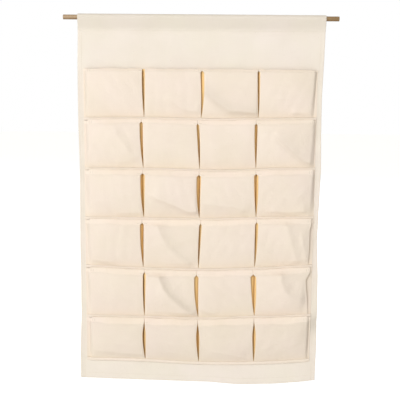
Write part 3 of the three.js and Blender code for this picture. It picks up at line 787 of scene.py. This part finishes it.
# The folded edge in cross section, a rounded square that is open behind: depth and height from its middle
half_deep = (strip_front - strip_back - cloth_thickness) / 2
half_high = (seam_strip - cloth_thickness) / 2
ring = []
for a in np.linspace(-math.pi * 0.42, math.pi * 1.42, 21):
    squared = max(abs(math.cos(a)), abs(math.sin(a))) ** 0.75
    ring.append((-math.cos(a) / squared * half_deep, math.sin(a) / squared * half_high))
foot_x = np.linspace(-strip_half, strip_half, strip_steps)
for row in range(rows):
    strip_middle = mouth_z(row) - front_height - seam_strip / 2
    wave = strip_pucker * ripple(foot_x, 0 * foot_x, [0.007, 0.011, 0.02], 90 + row)
    grid, cut = [], []
    walked = 0.0
    last = ring[0]
    for deep, high in ring:
        depth = strip_back + ((strip_front - strip_back) / 2 - deep) * strip_share(foot_x) + wave * (deep < 0)
        grid.append(np.stack([foot_x, -depth, hang(foot_x, strip_middle + high + 0 * foot_x) + wave * 0.6], axis=-1))
        walked += math.hypot(deep - last[0], high - last[1])
        last = (deep, high)
        cut.append(np.stack([foot_x + 0.11 * row, walked + 0 * foot_x], axis=-1))
    # Painted shade: the feet are laid on greyer, as they sit in shade under the fronts
    foot = lay_cloth(f"row_{row + 1}_foot_fold", np.array(grid), np.array(cut), grey=0.36)
    foot.data.materials.append(pocket_canvas)
    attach(foot, "panel")
    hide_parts(f"row_{row + 1}_pleats")

# Stitches: spun cotton, one short bead of thread for each stitch that shows, pulled a little into the cloth.
# At the top corners of every pocket the mouth is tacked with a dense short bar of the same thread.
stitch_length = 0.0026
stitch_pitch = 0.0032
thread_radius = 0.00032
thread_lift = 0.0006
side_stitch_x = 0.3
tack_pitch = 0.0007
tack_length = 0.0085
tack_height = 0.002
thread_light = (0.87, 0.79, 0.68, 1)
thread_dark = (0.68, 0.58, 0.45, 1)

bpy.ops.object.select_all(action="DESELECT")
bpy.ops.mesh.primitive_uv_sphere_add(segments=6, ring_count=5, radius=1, rotation=(0, math.pi / 2, 0))
bead = bpy.context.object
bpy.ops.object.transform_apply()
bead_points = np.array([v.co for v in bead.data.vertices]) * (1, thread_radius, thread_radius * 0.8)
bead_faces = [list(face.vertices) for face in bead.data.polygons]
bpy.data.objects.remove(bead)

spun_thread, tree, shader = start_material("spun_thread", roughness=0.8, specular=0.2)
place = put(tree, "ShaderNodeTexCoord").outputs["Object"]
twist = noise(tree, place, 900.0, 2.0)
ply = blend_colours(tree, twist, thread_light, thread_dark)
ply_up = put(tree, "ShaderNodeBump", {"Height": twist, "Strength": 0.5, "Distance": 0.0001})
tree.links.new(ply, shader.inputs["Base Color"])
tree.links.new(ply_up.outputs[0], shader.inputs["Normal"])


def along_line(line):
    """Middle, direction and length of each stitch along a line of points."""
    along = distance_along(line)
    stitches = []
    for middle in np.arange(stitch_pitch / 2, along[-1], stitch_pitch):
        ends = [np.array([np.interp(middle + d, along, line[:, k]) for k in range(3)]) for d in (-0.001, 0.001)]
        stitches.append(((ends[0] + ends[1]) / 2, ends[1] - ends[0], stitch_length))
    return stitches


def sew(name, stitches):
    """A bead of thread for each stitch's middle, direction and length, lying flat on the cloth."""
    points, faces = [], []
    for centre, forward, length in stitches:
        forward = np.array(forward, float) / np.linalg.norm(forward)
        side = np.cross((0, -1, 0), forward)
        side /= np.linalg.norm(side)
        faces += [[i + len(points) * len(bead_points) for i in face] for face in bead_faces]
        points.append(centre + bead_points * (length / 2, 1, 1) @ np.array([forward, side, np.cross(forward, side)]))
    mesh = bpy.data.meshes.new(name)
    mesh.from_pydata(np.concatenate(points).tolist(), [], faces)
    mesh.materials.append(spun_thread)
    piece = add_object(name, mesh)
    bpy.ops.object.shade_smooth()
    return piece


def on_front(row, column, x, drop):
    """A point on a front's outside, at a place across and a drop below its mouth."""
    up = 1 - drop / front_height
    depth = front_depth(row, column, share_across(row, column, x, up), up) + cloth_thickness / 2
    return np.stack([x, -depth, hang(x, mouth_z(row) - drop)], axis=-1)


def on_panel(x, z, depth):
    """A point of the panel at a depth behind its middle, curled with the right margin."""
    return np.stack([x, depth + curl_depth * curl_share(x, z), hang(x, z)], axis=-1)


# Each row is sewn through the panel along its foot and up the lines between its pockets, and both show behind.
# Each front has its hem's own line, with a bar tack at both ends.
seam_x = np.linspace(-strip_half + 0.002, strip_half - 0.002, 90)
seam_depth = strip_back + (strip_front - strip_back) * strip_share(seam_x) - 0.0002
for row in range(rows):
    seam_z = mouth_z(row) - front_height - 0.7 * seam_strip
    line = np.stack([seam_x, -seam_depth, hang(seam_x, seam_z + 0 * seam_x)], axis=-1)
    row_stitches = along_line(line) + along_line(line * (1, 0, 1) + (0, thread_lift + 0.0001, 0))
    line_z = mouth_z(row) - front_height + np.linspace(0.004, front_height - 0.006, 30)
    for pocket_line in range(columns + 1):
        row_stitches += along_line(on_panel(line_x(pocket_line) + 0 * line_z, line_z, thread_lift + 0.0001))
    seam = sew(f"row_{row + 1}_foot_stitches", row_stitches)
    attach(seam, "panel")
    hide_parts(f"row_{row + 1}_seam_thread")
    for column in range(columns):
        up = 1 - hem_heights[row] / front_height
        left_edge, right_edge = front_ends(row, column, up)
        hem_x = np.linspace(left_edge + 0.003, right_edge - 0.003, 60)
        hem_drop = hem_line(row, column, share_across(row, column, hem_x, up))
        hem_stitches = along_line(on_front(row, column, hem_x, hem_drop))
        reach = np.arange(0.0012, tack_length, tack_pitch)
        for side, edge, is_end in ((1, left_edge, column == 0), (-1, right_edge, column == columns - 1)):
            if is_end:
                for away in (0.003, 0.0085):
                    bar = on_front(row, column, edge + side * away + 0 * reach, 0.003 + reach * 0.8)
                    hem_stitches += [(point, (1, 0, 0), tack_height * 0.8) for point in bar]
            else:
                bar = on_front(row, column, edge + side * reach, hem_heights[row] * 0.72 + 0 * reach)
                hem_stitches += [(point, (0, 0, 1), tack_height) for point in bar]
        hem_thread = sew(f"row_{row + 1}_pocket_{column + 1}_hem_stitches", hem_stitches)
        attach(hem_thread, f"row_{row + 1}_pocket_{column + 1}")

# The sleeve's seam and the panel's hems show on both faces
sleeve_x = np.linspace(-0.306, 0.306, 100)
sleeve_line = np.outer(sleeve_x, (1, 0, 0)) + (0, -2 * thread_lift, -sleeve_drop + sleeve_band / 2)
sleeve_stitches = sew("sleeve_stitches", along_line(sleeve_line) + along_line(sleeve_line * (1, -1, 1)))
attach(sleeve_stitches, "sleeve")
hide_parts("sleeve_seam_thread")
behind_hem = (0, thread_lift + layer_gap + thread_lift, 0)
hem_x = np.linspace(-0.296, 0.296, 100)
hem_z = np.full(100, -panel_drop + bottom_hem - 0.002)
hem_line_z = hang(hem_x, hem_z) + np.interp(hem_x, foot_places, foot_moves) * ramp(hem_z, -0.88, -0.06)
foot_line = np.stack([hem_x, -thread_lift + foot_wave(hem_x, hem_z) * 0.9, hem_line_z], axis=-1)
foot_stitches = sew("bottom_hem_stitches", along_line(foot_line) + along_line(foot_line + behind_hem))
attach(foot_stitches, "panel")
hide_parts("bottom_hem_thread")
side_z = np.linspace(-0.038, -0.94, 120)
for name, side, moves in (("left", -1, left_edge_moves), ("right", 1, right_edge_moves)):
    side_line = side * side_stitch_x + np.interp(side_z, edge_heights, moves) * edge_share(side_stitch_x)
    run_line = on_panel(side_line, side_z, -thread_lift)
    run = sew(f"{name}_hem_stitches", along_line(run_line) + along_line(run_line + behind_hem))
    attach(run, "panel")
    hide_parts(f"{name}_hem_thread")

# Floor, lamps and camera: a pale floor well below the cloth, a wide soft lamp high on the left in front, a weaker
# one behind, and a pale sky. Floor and sky are white only where they are seen, and light the cloth at a plain level.
# The camera stands two metres off and looks a little down, as in the photo.
floor_height = -1.5
floor_pale = (0.95, 0.95, 0.95, 1)
floor_glow = 0.6
sky_light = (0.4, 0.388, 0.362, 1)
white = (1, 1, 1, 1)
lamp_size = 3.4
lamp_colour = (0.985, 1, 1.03)
lamp_aim = Vector((0, 0, -0.45))
camera_aim = Vector((0.00157, 0, -0.459125))
camera_away = 2.0
camera_focal = 774.757
picture_width = 400
film_width = 36


def seen(tree):
    """1 for what the camera sees straight, in metal or through glass, and 0 for what lights the scene."""
    ray = put(tree, "ShaderNodeLightPath").outputs
    shown = work_out(tree, "MAXIMUM", ray["Is Glossy Ray"], ray["Is Transmission Ray"])
    return work_out(tree, "MAXIMUM", ray["Is Camera Ray"], shown)


bpy.ops.object.select_all(action="DESELECT")
bpy.ops.mesh.primitive_plane_add(size=40, location=(0, 0, floor_height))
floor = bpy.context.object
floor.name = "floor"
pale, tree, shader = start_material("pale_floor", roughness=0.9, specular=0.1)
shader.inputs["Base Color"].default_value = floor_pale
shader.inputs["Emission Color"].default_value = white
tree.links.new(work_out(tree, "MULTIPLY", seen(tree), floor_glow), shader.inputs["Emission Strength"])
floor.data.materials.append(pale)

sky = bpy.data.worlds.new("pale_sky")
bpy.context.scene.world = sky
sky.use_nodes = True
tree = sky.node_tree
tree.links.new(blend_colours(tree, seen(tree), sky_light, white), tree.nodes["Background"].inputs["Color"])
tree.nodes["Background"].inputs["Strength"].default_value = 1

for name, place, energy in (("key_lamp", (-3.2, -7.7, 3.2), 494), ("back_lamp", (3.6, 7.2, 2.6), 190)):
    lamp = bpy.data.lights.new(name, "AREA")
    lamp.size = lamp_size
    lamp.energy = energy
    lamp.color = lamp_colour
    holder = add_object(name, lamp)
    holder.location = place
    holder.rotation_euler = (lamp_aim - holder.location).to_track_quat("-Z", "Y").to_euler()

camera_data = bpy.data.cameras.new("camera")
camera_data.sensor_width = film_width
camera_data.lens = film_width * camera_focal / picture_width
camera = add_object("camera", camera_data)
tilt, turn, roll = math.radians(8.434), math.radians(-0.716), math.radians(0.494)
forward = Vector((math.sin(turn) * math.cos(tilt), math.cos(turn) * math.cos(tilt), -math.sin(tilt)))
level = forward.cross(Vector((0, 0, 1))).normalized()
upright = level.cross(forward)
right = level * math.cos(roll) + upright * math.sin(roll)
above = upright * math.cos(roll) - level * math.sin(roll)
eye = camera_aim - forward * camera_away
camera.matrix_world = Matrix([[right[i], above[i], -forward[i], eye[i]] for i in range(3)] + [[0, 0, 0, 1]])
bpy.context.scene.camera = camera
bpy.context.scene.view_settings.view_transform = "Standard"
